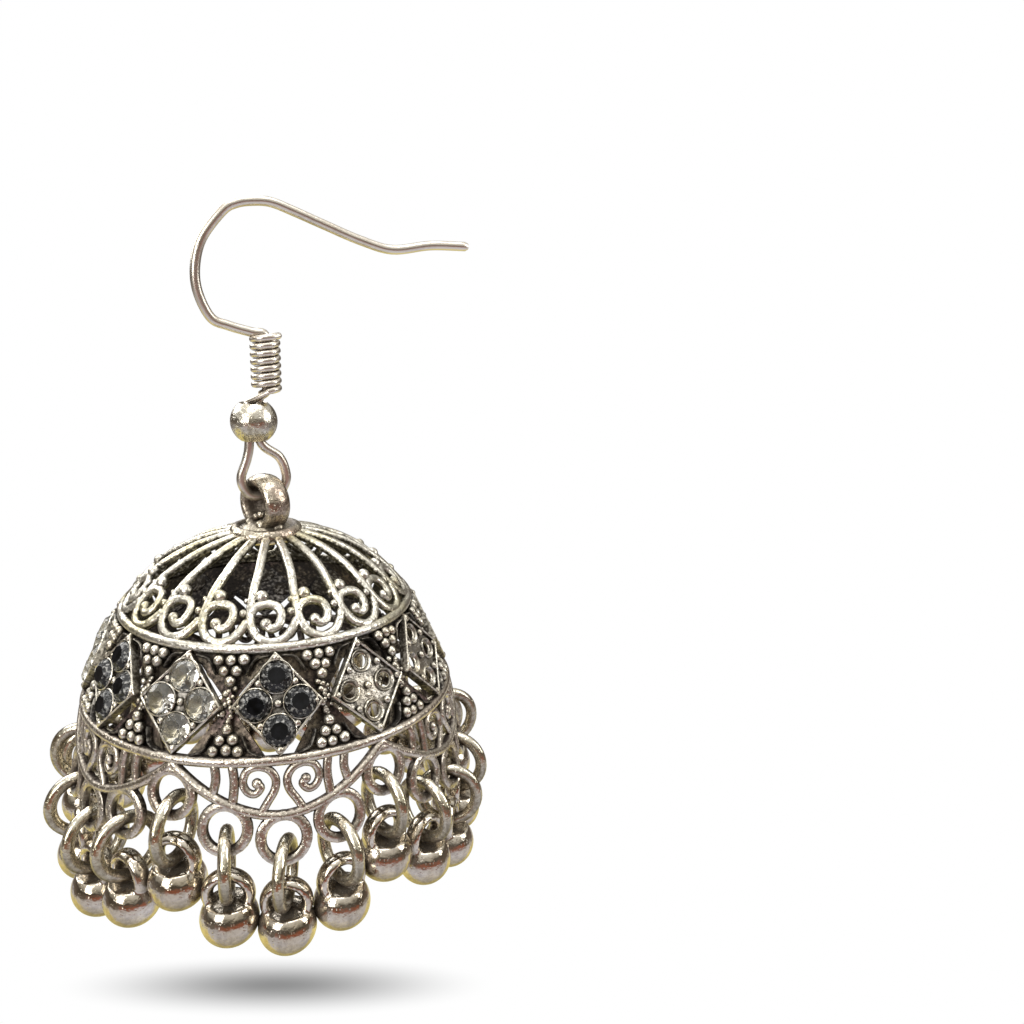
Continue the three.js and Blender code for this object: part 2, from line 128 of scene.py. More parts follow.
# %% [markdown]
# ## Three ways to add metal
# A casting of this kind is made of three things in wax before it is cast: wires laid on the
# form, round grains, and turned or cut plates. Each is a short function here that adds its
# points and faces to one casting, so that a whole band of ornament becomes one mesh.


# %% A casting
class Casting:
    """The points and faces of one cast piece, and the number of each face's finish."""

    def __init__(self):
        self.points = []
        self.faces = []
        self.finishes = []

    def add(self, points, faces, finish=0):
        first = len(self.points)
        self.points += points
        self.faces += [[first + corner for corner in face] for face in faces]
        self.finishes += [finish] * len(faces)


print("a casting gathers points, faces and finishes")

# %% [markdown]
# A wire is a row of rings of points. Each ring stands square to the wire's run, and the two ends
# are rounded.


# %% A laid wire
def tube_faces(rings, sides, closed):
    """The four-sided faces between one ring of points and the next."""
    faces = []
    for i in range(rings if closed else rings - 1):
        here, there = i * sides, (i + 1) % rings * sides
        for k in range(sides):
            after = (k + 1) % sides
            faces.append([here + k, here + after, there + after, there + k])
    return faces


def add_wire(casting, places, width, depth, sides=10, closed=False, square=1.0, finish=0):
    """A wire laid along places, each a point and the direction that the surface faces there."""
    count = len(places)
    points = []
    for i, (point, normal) in enumerate(places):
        before = places[i - 1][0] if i or closed else point
        after = places[(i + 1) % count][0] if i < count - 1 or closed else point
        along = (after - before).normalized()
        across = along.cross(normal).normalized()
        out = across.cross(along)
        for k in range(sides):
            angle = k / sides * TURN
            flat, tall = math.cos(angle), math.sin(angle)
            flat = math.copysign(abs(flat) ** square, flat)
            tall = math.copysign(abs(tall) ** square, tall)
            points.append(point + across * (flat * width / 2) + out * (tall * depth / 2))
    faces = tube_faces(count, sides, closed)
    if not closed:
        for end, (point, _) in ((0, places[0]), (count - 1, places[-1])):
            neighbour = places[1][0] if end == 0 else places[-2][0]
            outward = (point - neighbour).normalized()
            ring = [end * sides + k for k in range(sides)]
            inner = len(points)
            for corner in ring:
                points.append(point + (points[corner] - point) * 0.7 + outward * depth * 0.3)
            points.append(point + outward * depth * 0.42)
            for k in range(sides):
                after = (k + 1) % sides
                side = [ring[k], ring[after], inner + after, inner + k]
                cap = [inner + k, inner + after, inner + sides]
                faces += [side[::-1], cap[::-1]] if end == 0 else [side, cap]
    casting.add(points, faces, finish)


print("ready to lay wires")

# %% [markdown]
# A turned shape is a profile carried round an axis, and a grain is one whose profile is half a
# circle. A hoop gives the places for a wire that closes on itself.


# %% Hoops, turned shapes and grains
def hoop(count, radius, first, second, matrix):
    """Places round a hoop that starts towards the first direction and turns to the second."""
    places = []
    for index in range(count):
        angle = index / count * TURN
        outward = Vector(first) * math.cos(angle) + Vector(second) * math.sin(angle)
        places.append((matrix @ (outward * radius), matrix.to_3x3() @ outward))
    return places


def add_turned(casting, profile, matrix, sides=24, finish=0):
    """A turned shape: the profile, of radius and height, goes round the matrix's own Z."""
    points = []
    for k in range(sides):
        angle = k / sides * TURN
        for radius, height in profile:
            flat = Vector((math.cos(angle) * radius, math.sin(angle) * radius, height))
            points.append(matrix @ flat)
    count = len(profile)
    faces = []
    for k in range(sides):
        here, there = k * count, (k + 1) % sides * count
        for i in range(count - 1):
            low_radius, high_radius = profile[i][0], profile[i + 1][0]
            face = [here + i, there + i, there + i + 1, here + i + 1]
            if low_radius == 0:
                face = [here, there + 1, here + 1]
            elif high_radius == 0:
                face = [here + i, there + i, here + i + 1]
            faces.append(face)
    casting.add(points, faces, finish)


def add_grain(casting, point, diameter, finish=0, rows=7):
    """A round grain; a tiny one needs fewer rows of faces."""
    radius = diameter / 2
    profile = [(math.sin(k / rows * math.pi) * radius, -math.cos(k / rows * math.pi) * radius)
               for k in range(rows + 1)]
    profile[0], profile[-1] = (0, -radius), (0, radius)
    add_turned(casting, profile, Matrix.Translation(point), rows * 2 - 2, finish)


print("ready to turn shapes and grains")


# %% Plates with real holes
def add_plate(casting, outline, holes, matrix, low, high, finish=0):
    """A flat plate with holes, from height low to height high of the matrix's own Z."""
    loops = [outline, *holes]
    flat = [point for loop in loops for point in loop]
    triangles = tessellate_polygon([[point.to_3d() for point in loop] for loop in loops])
    points = [matrix @ Vector((p.x, p.y, z)) for z in (low, high) for p in flat]
    count = len(flat)
    faces = []
    for a, b, c in triangles:
        if (flat[b] - flat[a]).cross(flat[c] - flat[a]) < 0:
            b, c = c, b
        faces.append([count + a, count + b, count + c])
        faces.append([c, b, a])
    first = 0
    for loop in loops:
        area = sum(loop[i - 1].cross(loop[i]) for i in range(len(loop)))
        outer = loop is outline
        for i in range(len(loop)):
            a, b = first + i, first + (i + 1) % len(loop)
            wall = [a, b, count + b, count + a]
            faces.append(wall if (area > 0) == outer else wall[::-1])
        first += len(loop)
    casting.add(points, faces, finish)


print("ready to cut plates")

# %% [markdown]
# ## The finish of oxidised silver
# Old-looking silver is made by blackening the whole casting and then rubbing it: whatever faces
# outward gets bright, and what lies deep or faces inward stays dark. A node group works this out
# for every metal here. It compares the direction that the surface faces with the direction away
# from a centre, and darkens the places that lie close to other metal.


# %% New groups and nodes
def new_group(name, inputs, outputs):
    """An empty node group with named inputs and outputs."""
    group = bpy.data.node_groups.new(name, "ShaderNodeTree")
    for title, kind, value in inputs:
        socket = group.interface.new_socket(title, in_out="INPUT", socket_type="NodeSocket" + kind)
        socket.default_value = value
    for title, kind in outputs:
        group.interface.new_socket(title, in_out="OUTPUT", socket_type="NodeSocket" + kind)
    return group, group.nodes.new("NodeGroupInput"), group.nodes.new("NodeGroupOutput")


def feed(tree, made, inputs):
    """Fills inputs of a node, each with another node's output, a colour or a number."""
    for name, value in inputs.items():
        socket = made.inputs[name]
        if isinstance(value, bpy.types.NodeSocket):
            tree.links.new(value, socket)
        else:
            socket.default_value = (*value, 1) if socket.type == "RGBA" else value


def node(tree, kind, inputs, **settings):
    """A shader node with its settings and what goes into its inputs."""
    made = tree.nodes.new("ShaderNode" + kind)
    for key, value in settings.items():
        setattr(made, key, value)
    feed(tree, made, inputs)
    return made


print("ready to make groups and nodes")


# %% Sums, steps, blends and noise
def place_of(tree, output="Object"):
    """Where a point lies on its object, or another output of the same node."""
    return node(tree, "TexCoord", {}).outputs[output]


def math_node(tree, operation, first, second=None, clamp=False):
    """The result of a sum, product or other operation on one or two values or sockets."""
    inputs = {0: first} if second is None else {0: first, 1: second}
    return node(tree, "Math", inputs, operation=operation, use_clamp=clamp).outputs[0]


def stepped(tree, value, low, high):
    """A value spread smoothly from 0 at low to 1 at high."""
    inputs = {"Value": value, "From Min": low, "From Max": high}
    return node(tree, "MapRange", inputs, interpolation_type="SMOOTHSTEP").outputs["Result"]


def between(tree, share, first, second, start=0.0, end=1.0):
    """A value that goes evenly from first to second while the share goes from start to end."""
    inputs = {"Value": share, "From Min": start, "From Max": end, "To Min": first,
              "To Max": second}
    return node(tree, "MapRange", inputs).outputs["Result"]


def mixed(tree, share, first, second):
    """A colour between two, by a share."""
    inputs = {"Factor": share, "A": first, "B": second}
    return node(tree, "Mix", inputs, data_type="RGBA").outputs["Result"]


def noise(tree, place, scale, detail):
    """Soft noise over a place."""
    inputs = {"Vector": place, "Scale": scale, "Detail": detail}
    return node(tree, "TexNoise", inputs).outputs["Fac"]


def plain_shader(name):
    """A new material, its node tree and its shader."""
    material = bpy.data.materials.new(name)
    material.use_nodes = True
    return material, material.node_tree, material.node_tree.nodes["Principled BSDF"]


print("node helpers are ready")


# %% How bright the silver is rubbed
def rubbed_group():
    """Tells how bright the metal is rubbed: 1 on high places, 0 in the recesses."""
    group, inside, outside = new_group(
        "rubbed_places",
        [("Centre", "Vector", (0, 0, 0)), ("Low", "Float", -0.2), ("High", "Float", 0.8),
         ("Depth", "Float", 0.0008), ("Patchiness", "Float", 0.35), ("Speckle", "Float", 0.5)],
        [("Rubbed", "Float")],
    )
    given, place = inside.outputs, place_of(group)
    away = node(group, "VectorMath", {0: place, 1: given["Centre"]}, operation="SUBTRACT")
    away = node(group, "VectorMath", {0: away.outputs[0]}, operation="NORMALIZE")
    outward = node(group, "VectorMath", {0: away.outputs[0], 1: place_of(group, "Normal")},
                   operation="DOT_PRODUCT")
    facing_out = stepped(group, outward.outputs["Value"], given["Low"], given["High"])
    shelter = node(group, "AmbientOcclusion", {"Distance": given["Depth"]}, samples=6)
    open_air = stepped(group, shelter.outputs["AO"], 0.25, 0.85)
    bright = math_node(group, "MULTIPLY", facing_out, open_air)
    for title, scale in (("Patchiness", 700), ("Speckle", 4200)):
        swing = math_node(group, "SUBTRACT", noise(group, place, scale, 4), 0.5)
        swing = math_node(group, "MULTIPLY", swing, given[title])
        bright = math_node(group, "ADD", bright, math_node(group, "MULTIPLY", swing, 2.5))
    bright = math_node(group, "MULTIPLY", bright, 1.0, clamp=True)
    feed(group, outside, {"Rubbed": bright})
    return group


RUBBED = rubbed_group()
print("group:", RUBBED.name)


# %% The tint of the tarnish
def tint_group():
    """Changes a metal's colour in soft patches of a second tone."""
    group, inside, outside = new_group(
        "tarnish_tint",
        [("Metal", "Color", (0.6, 0.6, 0.6, 1)), ("Tint", "Color", (0.5, 0.4, 0.2, 1)),
         ("Amount", "Float", 0.4), ("Scale", "Float", 300.0)],
        [("Color", "Color")],
    )
    given = inside.outputs
    patches = noise(group, place_of(group), given["Scale"], 3)
    share = math_node(group, "MULTIPLY", stepped(group, patches, 0.45, 0.68), given["Amount"])
    feed(group, outside, {"Color": mixed(group, share, given["Metal"], given["Tint"])})
    return group


TINT = tint_group()
print("group:", TINT.name)


# %% The skin of the casting
def skin_group():
    """The height of a casting's skin: fine grit, shallow waves and small pits."""
    group, inside, outside = new_group(
        "cast_skin",
        [("Grit", "Float", 5200.0), ("Waves", "Float", 1100.0), ("Pits", "Float", 0.5)],
        [("Height", "Float")],
    )
    given, place = inside.outputs, place_of(group)
    grit = noise(group, place, given["Grit"], 4)
    waves = noise(group, place, given["Waves"], 2)
    pits = node(group, "TexVoronoi", {"Vector": place, "Scale": given["Grit"]})
    hollow = stepped(group, pits.outputs["Distance"], 0.0, 0.3)
    hollow = math_node(group, "MULTIPLY", hollow, given["Pits"])
    height = math_node(group, "MULTIPLY", grit, 0.5)
    height = math_node(group, "ADD", height, math_node(group, "MULTIPLY", waves, 1.6))
    feed(group, outside, {"Height": math_node(group, "ADD", height, hollow)})
    return group


SKIN = skin_group()
print("group:", SKIN.name)

# %% [markdown]
# ## Metals
# Each metal of the earring is one material that uses the same three groups with values of its
# own. Only the tone, the depth of the tarnish and the gloss differ, as they do on the real one,
# where every part went through the same bath and the same polishing brush.


# %% One recipe for every metal
def cast_skin(tree, shader, sizes, strength, distance):
    """Gives a shader the bumps of the cast skin."""
    surface = node(tree, "Group", sizes, node_tree=SKIN)
    bump = node(tree, "Bump", {"Strength": strength, "Distance": distance,
                               "Height": surface.outputs["Height"]})
    feed(tree, shader, {"Normal": bump.outputs["Normal"]})


def metal(name, centre, bright, dark, tint, polish=(0.22, 0.5), low=-0.2, high=0.8,
          depth=0.0009, patchiness=0.35, speckle=0.5, tint_amount=0.4, skin=0.8):
    """An oxidised metal, rubbed bright away from a centre given in millimetres."""
    material, tree, shader = plain_shader(name)
    sizes = {"Centre": [value * MM for value in centre], "Low": low, "High": high,
             "Depth": depth, "Patchiness": patchiness, "Speckle": speckle}
    rubbed = node(tree, "Group", sizes, node_tree=RUBBED).outputs["Rubbed"]
    tones = {"Metal": bright, "Tint": tint, "Amount": tint_amount}
    tinted = node(tree, "Group", tones, node_tree=TINT).outputs["Color"]
    feed(tree, shader, {"Base Color": mixed(tree, rubbed, dark, tinted),
                        "Roughness": between(tree, rubbed, polish[1], polish[0]),
                        "Metallic": between(tree, rubbed, 0.65, 1.0)})
    cast_skin(tree, shader, {"Grit": 4600, "Pits": 0.6}, skin, 0.00008)
    return material


DOME_MIDDLE = (0, 0, 1.5 - HANG)
crown_silver = metal("crown_silver", DOME_MIDDLE, (0.8, 0.76, 0.66), (0.05, 0.042, 0.024),
                     (0.62, 0.55, 0.28), low=-0.2, high=0.8, polish=(0.28, 0.55), speckle=1.0,
                     patchiness=0.5, skin=1.0, tint_amount=0.6)
band_silver = metal("band_silver", (0, 0, -2 - HANG), (0.78, 0.73, 0.62), (0.045, 0.036, 0.024),
                    (0.6, 0.5, 0.32), low=-0.2, high=0.95, polish=(0.26, 0.55), speckle=0.8)
skirt_silver = metal("skirt_silver", (0, 0, 3 - HANG), (0.74, 0.67, 0.56), (0.06, 0.045, 0.036),
                     (0.5, 0.38, 0.3), low=-0.4, high=0.75, polish=(0.26, 0.5), speckle=0.6)
ring_silver = metal("ring_silver", (0, 0, 0 - HANG), (0.82, 0.76, 0.62), (0.12, 0.09, 0.06),
                    (0.66, 0.56, 0.28), polish=(0.16, 0.38), low=-0.8, high=0.6, skin=0.5,
                    speckle=0.4)
ball_silver = metal("ball_silver", (0, 0, 0 - HANG), (0.78, 0.71, 0.6), (0.2, 0.16, 0.12),
                    (0.6, 0.5, 0.34), polish=(0.1, 0.26), low=-1.1, high=0.3, skin=0.35,
                    tint_amount=0.6, speckle=0.3, patchiness=0.5)
wire_silver = metal("wire_silver", (0, 0, -9), (0.8, 0.74, 0.64), (0.3, 0.25, 0.2),
                    (0.66, 0.55, 0.42), polish=(0.3, 0.42), low=-1.8, high=-0.4, skin=0.15,
                    speckle=0.2)
bead_silver = metal("bead_silver", (0, 0, 17.98 - HANG), (0.76, 0.71, 0.6), (0.16, 0.12, 0.09),
                    (0.66, 0.57, 0.3), polish=(0.22, 0.4), low=-0.6, high=0.6, skin=0.8,
                    depth=0.0004, patchiness=0.8, speckle=0.6, tint_amount=0.7)
print("metals:", [material.name for material in bpy.data.materials])


# %% [markdown]
# ## Making a piece
# A piece is one mesh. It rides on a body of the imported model, stands for one of its solids, and
# names the finish that it takes.


# %% Turn a casting into a piece
def mesh_of(name, casting, materials, sharp=40):
    """A smooth mesh in metres; edges that bend more than sharp, in degrees, stay crisp."""
    mesh = bpy.data.meshes.new(name)
    mesh.from_pydata([point * MM for point in casting.points], [], casting.faces)
    for material in materials:
        mesh.materials.append(material)
    mesh.polygons.foreach_set("material_index", casting.finishes)
    mesh.polygons.foreach_set("use_smooth", [True] * len(mesh.polygons))
    mesh.set_sharp_from_angle(angle=math.radians(sharp))
    mesh.update()
    return mesh


def place_piece(name, mesh, body, solid, place=Matrix.Identity(4)):
    """A piece on a body, in the place of a solid; a mesh can serve several pieces."""
    piece = bpy.data.objects.new(name, mesh)
    piece.matrix_world = place
    bpy.context.scene.collection.objects.link(piece)
    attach(piece, body)
    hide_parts(solid)


def make_piece(name, casting, materials, body, solid, sharp=40):
    """A piece from a casting of its own."""
    place_piece(name, mesh_of(name, casting, materials, sharp), body, solid)
    print(name, "has", sum(len(face) - 2 for face in casting.faces), "triangles")


print("ready to make pieces")

# %% [markdown]
# ## The crown
# Eighteen ribs come down from the collar. Each ends in a scroll: the stroke turns round the
# bottom and up to its neighbour, and a curl closes over it. The path is a handful of points in
# shares of the pitch between scrolls, and the curve between them is smoothed.

# %% Ribs, scrolls and the upper rim
RIB_WIDTH = 0.56
RIB_TURN = math.radians(-1.9)
rib_pitch = TURN / RIBS
scroll_middle = (0.5 * RIB_WIDTH + 0.36 * UPPER_RIM * rib_pitch) / crown_run.length
scroll_pitch = (UPPER_RIM + crown_run.x * scroll_middle) * rib_pitch
scroll_stroke = [(-0.37, 0.22), (-0.36, -0.05), (-0.24, -0.28), (0.02, -0.4), (0.3, -0.34),
                 (0.48, -0.16), (0.58, 0.02)]
scroll_curl = [(-0.37, 0.2), (-0.26, 0.36), (-0.04, 0.43), (0.18, 0.36), (0.27, 0.16),
               (0.2, -0.06), (0.04, -0.12), (-0.06, -0.02)]
scroll_grains = [(-0.12, 0.6, 0.84), (0.47, 0.22, 0.5), (-0.44, 0.5, 0.36)]


def scroll_place(azimuth, across, up):
    """A place on the crown, in shares of the pitch from a scroll's middle."""
    share = scroll_middle + up * scroll_pitch / crown_run.length
    return facing(lambda u, v: crown(azimuth, v, u), across * scroll_pitch, share)


def crown_wire(casting, azimuth, path, width, depth):
    """A wire on the crown along a path given in shares of the pitch."""
    line = smooth([Vector(point) for point in path], 7)
    places = [scroll_place(azimuth, point.x, point.y) for point in line]
    add_wire(casting, places, width, depth, 12, square=0.8)


def add_rib(casting, azimuth):
    """One rib with its scroll, its curl and its grains."""
    ups = [(share - scroll_middle) * crown_run.length / scroll_pitch
           for share in (0.99, 0.85, 0.7, 0.55, 0.42)]
    foot = scroll_stroke[0][0]
    rib = [(foot * (1 - share), up) for share, up in zip((1, 0.84, 0.66, 0.46, 0.22), ups)]
    crown_wire(casting, azimuth, rib + scroll_stroke, RIB_WIDTH, 0.5)
    crown_wire(casting, azimuth, scroll_curl, RIB_WIDTH, 0.5)
    point, _ = scroll_place(azimuth, *scroll_curl[-1])
    add_grain(casting, point, RIB_WIDTH * 1.3)
    for across, up, diameter in scroll_grains:
        point, normal = scroll_place(azimuth, across, up)
        add_grain(casting, point + normal * 0.05, diameter)


def add_rim(casting, radius, height):
    """A round rim, with its outer face turned outwards."""
    angles = [k / RIM_STEPS * TURN for k in range(RIM_STEPS)]
    places = [(around(angle, radius, height), around(angle, 1, HANG)) for angle in angles]
    add_wire(casting, places, RIM_WIRE, RIM_WIRE, closed=True)


crown_casting = Casting()
add_rim(crown_casting, UPPER_RIM, UPPER_HEIGHT)
for index in range(RIBS):
    add_rib(crown_casting, DOME_TURN + RIB_TURN + index * rib_pitch)
make_piece("dome_crown", crown_casting, [crown_silver], "drop", "dome")

# %% [markdown]
# ## Collar and bail
# The collar is a turned button that hides where the ribs meet. The bail is a strap bent into a
# ring that stands on it, thick and soft from casting, with its bore turned to the wire.

# %% The turned collar and the strap of the bail
BAIL_HOLE, BAIL_THICKNESS, BAIL_WIDTH, BAIL_SINK = 2.05, 0.93, 1.8, 0.38
BAIL_TURN = math.radians(22)
bail_outer = BAIL_HOLE / 2 + BAIL_THICKNESS
bail_height = COLLAR_HEIGHT + COLLAR_THICKNESS / 2 + bail_outer - BAIL_SINK
collar_profile = [(0, -0.4), (1.7, -0.42), (1.95, -0.44), (2.18, -0.36), (2.34, -0.16),
                  (2.38, 0.06), (2.34, 0.28), (2.2, 0.47), (2.0, 0.55), (1.8, 0.5),
                  (1.68, 0.36), (1.56, 0.36), (1.4, 0.5), (1.1, 0.72), (0.7, 0.84), (0, 0.86)]

bail_casting = Casting()
collar_place = Matrix.Translation((0, 0, COLLAR_HEIGHT - HANG))
add_turned(bail_casting, collar_profile, collar_place, 48)
strap_turn = Matrix.Translation((0, 0, bail_height - HANG)) @ Matrix.Rotation(BAIL_TURN, 4, "Z")
strap_places = hoop(48, (BAIL_HOLE + BAIL_THICKNESS) / 2, (0, 0, 1), (0, 1, 0), strap_turn)
add_wire(bail_casting, strap_places, BAIL_WIDTH, BAIL_THICKNESS, 20, True)
for x, y, lift, diameter in ((0.75, 0.5, 0.6, 0.8), (-0.8, 0.45, 0.55, 0.9), (0.85, -0.5, 0.5, 0.7),
                             (-0.7, -0.6, 0.6, 0.85), (0.1, -1.2, 0.4, 0.9), (0, 1.2, 0.4, 0.9)):
    foot = Matrix.Rotation(BAIL_TURN, 3, "Z") @ Vector((x, y, 0))
    add_grain(bail_casting, foot + Vector((0, 0, COLLAR_HEIGHT + lift - HANG)), diameter)
for x, y, lift in ((-0.55, 0.2, -0.9), (-0.2, -0.3, -0.95), (0.3, 0.25, -0.9), (-0.5, -0.25, -0.7)):
    lump = strap_turn @ Vector((x, y, lift))
    add_grain(bail_casting, lump, 0.62 + x * 0.2)
bail_silver = metal("bail_silver", (0, 0, bail_height - HANG), (0.68, 0.61, 0.48),
                    (0.1, 0.08, 0.06), (0.4, 0.27, 0.22), polish=(0.2, 0.42),
                    low=-1.0, high=0.6, skin=0.9, tint_amount=0.6, patchiness=0.6)
make_piece("dome_bail", bail_casting, [bail_silver], "drop", "dome")

# %% [markdown]
# ## The band of lozenges
# Twelve lozenges stand between the rims: eight with bare cups, and four set with stones. A flat
# drawing is turned into place by one matrix. The plates are pierced under every cup and stone.
# The cups in front are open, so daylight comes through them. Those at the back have floors and
# stay dark when one looks in through the crown. Thin walls stand along the edges, and small
# grains hide the places where walls and lozenges meet.

# %% Sizes of a lozenge
lozenge_pitch = TURN / LOZENGES
band_lean = math.atan2(LOWER_RIM - UPPER_RIM, UPPER_HEIGHT)
band_radius = (LOWER_RIM + UPPER_RIM) / 2
rim_distance = UPPER_HEIGHT / 2 / math.cos(band_lean)
LOZENGE_TALL, LOZENGE_WIDE = 2.92, 2.58
cup_places = [Vector(pair) for pair in ((0, 1.56), (1.3, 0), (0, -1.56), (-1.3, 0))]
GRANULE = 0.7
PLATE, WALL = 0.34, 0.18


def on_band(azimuth):
    """The matrix that lays a flat drawing on the band at an azimuth."""
    place = Matrix.Translation(around(azimuth, band_radius, UPPER_HEIGHT / 2))
    lean = Matrix.Rotation(math.pi / 2 - band_lean, 4, "X")
    return place @ Matrix.Rotation(azimuth, 4, "Z") @ lean


def circle(middle, radius, sides=20):
    """The corners of a round outline."""
    return [middle + Vector((math.cos(k / sides * TURN), math.sin(k / sides * TURN))) * radius
            for k in range(sides)]


def scatter(index):
    """A number between -1 and 1 that looks random and is the same each time."""
    return math.sin(index * 12.9898) * math.cos(index * 4.137)


print("a lozenge is", 2 * LOZENGE_WIDE, "by", 2 * LOZENGE_TALL, "mm")

# %% Plates, walls, cups and seats
CUP_PROFILE = [(0.5, -0.06), (0.44, 0.02), (0.42, 0.08), (0.45, 0.14), (0.5, 0.16), (0.54, 0.12),
               (0.57, 0.16), (0.61, 0.27), (0.67, 0.32), (0.73, 0.27), (0.76, 0.18), (0.77, -0.1),
               (0.5, -0.06)]
BLIND_PROFILE = [(0, 0.0), *CUP_PROFILE[1:-1], (0, -0.1)]
SEAT_PROFILE = [(0.9, 0.1), (0.93, 0.4), (0.97, 0.46), (1.02, 0.42), (1.05, 0.1), (0.9, 0.1)]


def add_lozenge(casting, azimuth, is_set, is_blind, wobble):
    """One lozenge with its raised walls, its cups or seats and its small grains."""
    matrix = on_band(azimuth)
    out = matrix.to_3x3() @ Vector((0, 0, 1))
    corners = [Vector((0, -LOZENGE_TALL)), Vector((LOZENGE_WIDE, 0)),
               Vector((0, LOZENGE_TALL)), Vector((-LOZENGE_WIDE, 0))]
    holes = [circle(place, 0.92 if is_set else 0.7) for place in cup_places]
    cup = SEAT_PROFILE if is_set else BLIND_PROFILE if is_blind else CUP_PROFILE
    add_plate(casting, corners, holes, matrix, -PLATE / 2, PLATE / 2, finish=1)
    for side, (start, end) in enumerate(zip(corners, corners[1:] + corners[:1])):
        lean = Vector((scatter(wobble + side), scatter(wobble + side + 7))) * 0.05
        steps = [start.lerp(end, 0.03 + 0.94 * k / 6) + lean for k in range(7)]
        line = [(matrix @ Vector((p.x, p.y, 0.14)), out) for p in steps]
        add_wire(casting, line, WALL, 0.62, 8, square=0.6)
    for place in cup_places:
        seat = matrix @ Matrix.Translation((place.x, place.y, 0))
        add_turned(casting, cup, seat, 24)
    grains = [(0, LOZENGE_TALL - 0.26, 0.52), (0, 0.26 - LOZENGE_TALL, 0.52), (0, 0, 0.5)]
    grains += [(x * 1.06, y * 1.22, 0.48) for x in (-1, 1) for y in (-1, 1)]
    grains += [(x * (LOZENGE_WIDE - 0.36), 0, 0.4) for x in (-1, 1)]
    for x, y, diameter in grains:
        add_grain(casting, matrix @ Vector((x, y, PLATE / 2 + 0.1)), diameter)


print("a cup is", 2 * max(radius for radius, _ in CUP_PROFILE), "mm across")


# %% Granules between the lozenges
def add_granules(casting, azimuth, side, wobble):
    """Granules in the corner between two lozenges, on a dark ground that leaves slits."""
    matrix = on_band(azimuth)
    top = rim_distance - 0.1
    shift = scatter(wobble) * 0.12
    ground = [Vector((shift - 2.45, side * top)), Vector((shift + 2.45, side * top)),
              Vector((shift + 0.3, side * 0.35)), Vector((shift - 0.3, side * 0.35))]
    add_plate(casting, ground[::side], [], matrix, -0.5, -0.3, finish=2)
    for row, count in enumerate((3, 2, 1)):
        for step in range(count):
            sway = scatter(wobble + row * 3 + step) * 0.05
            x = (step - (count - 1) / 2) * GRANULE + sway
            y = side * (top - 0.55 - row * GRANULE * 0.87) + sway
            add_grain(casting, matrix @ Vector((x, y, 0.12)), GRANULE * (0.98 + sway))
    out = matrix.to_3x3() @ Vector((0, 0, 1))
    for way in (-1, 1):
        leaf = smooth([Vector((way * 1.95, side * (top - 0.3))),
                       Vector((way * 1.35, side * (top - 0.5))),
                       Vector((way * 0.95, side * (top - 1.25)))], 3)
        places = [(matrix @ Vector((p.x, p.y, -0.05)), out) for p in leaf]
        add_wire(casting, places, 0.16, 0.5, 8, finish=1)
    stem = [(matrix @ Vector((0, side * height, -0.3)), out) for height in (top - 1.6, 0.9, 0)]
    add_wire(casting, stem, 0.5, 0.4, 8, finish=2)


def add_joint(casting, azimuth, wobble):
    """The cluster of small grains where two lozenges touch."""
    matrix = on_band(azimuth)
    for index in range(13):
        x = scatter(wobble + index) * 0.34
        y = (index / 12 * 2 - 1) * 0.95
        diameter = 0.38 + 0.1 * scatter(wobble + index + 31)
        add_grain(casting, matrix @ Vector((x, y, 0.16 - abs(y) * 0.2)), diameter, rows=5)
    ground = [Vector((-0.5, 0)), Vector((0, -0.9)), Vector((0.5, 0)), Vector((0, 0.9))]
    add_plate(casting, ground, [], matrix, -0.35, 0.1, finish=2)


print("a granule is", GRANULE, "mm across")

# %% The whole band
set_places = {0: "black_stones_front", 11: "clear_stones_front",
              10: "black_stones_side", 9: "clear_stones_side"}
BLIND = (4, 5, 6, 7, 8)
band_casting = Casting()
for index in range(LOZENGES):
    azimuth = DOME_TURN + index * lozenge_pitch
    add_lozenge(band_casting, azimuth, index in set_places, index in BLIND, index * 11)
    gap = azimuth + lozenge_pitch / 2
    add_granules(band_casting, gap, 1, index * 17)
    add_granules(band_casting, gap, -1, index * 17 + 8)
    add_joint(band_casting, gap, index * 29)
plate_silver = metal("plate_silver", (0, 0, -2 - HANG), (0.6, 0.56, 0.49), (0.035, 0.03, 0.025),
                     (0.5, 0.42, 0.28), polish=(0.3, 0.55), low=0.1, high=1.2, skin=1.0,
                     patchiness=0.5, speckle=0.9)
ground_silver = metal("ground_silver", (0, 0, -2 - HANG), (0.3, 0.25, 0.18),
                      (0.035, 0.028, 0.022), (0.26, 0.17, 0.17), polish=(0.4, 0.6), low=-1.6,
                      high=2.4, skin=1.0, patchiness=0.7, speckle=0.9, tint_amount=0.8)
make_piece("dome_band", band_casting, [band_silver, plate_silver, ground_silver], "drop",
           "dome")

# %% [markdown]
# ## The skirt
# Six scallops hang below the lower rim. Each holds two mirrored spirals and two posts a side,
# and four flat eyelets hang on its edge. The scallop's edge is a power curve, and its slope
# there says how far each eyelet drops below it.

# %% Sizes and the scallop's edge
SCALLOP_DEPTH, SCALLOP_ROUND, SCALLOP_DROP, SCALLOP_WIRE = 2.9, 1.8, 0.3, 0.62
EYELET_HOLE, EYELET_WIRE = 2.0, 0.66
scallop_pitch = TURN / SCALLOPS
eyelet_radius = (EYELET_HOLE + EYELET_WIRE) / 2
panel_radius = LOWER_RIM + (SCALLOP_DROP + SCALLOP_DEPTH + eyelet_radius) * SKIRT_FLARE
half_scallop = panel_radius * scallop_pitch / 2


def edge_height(share):
    """The height of a scallop's edge, from -1 at one cusp to 1 at the other."""
    return -SCALLOP_DROP - SCALLOP_DEPTH * (1 - abs(share) ** SCALLOP_ROUND)


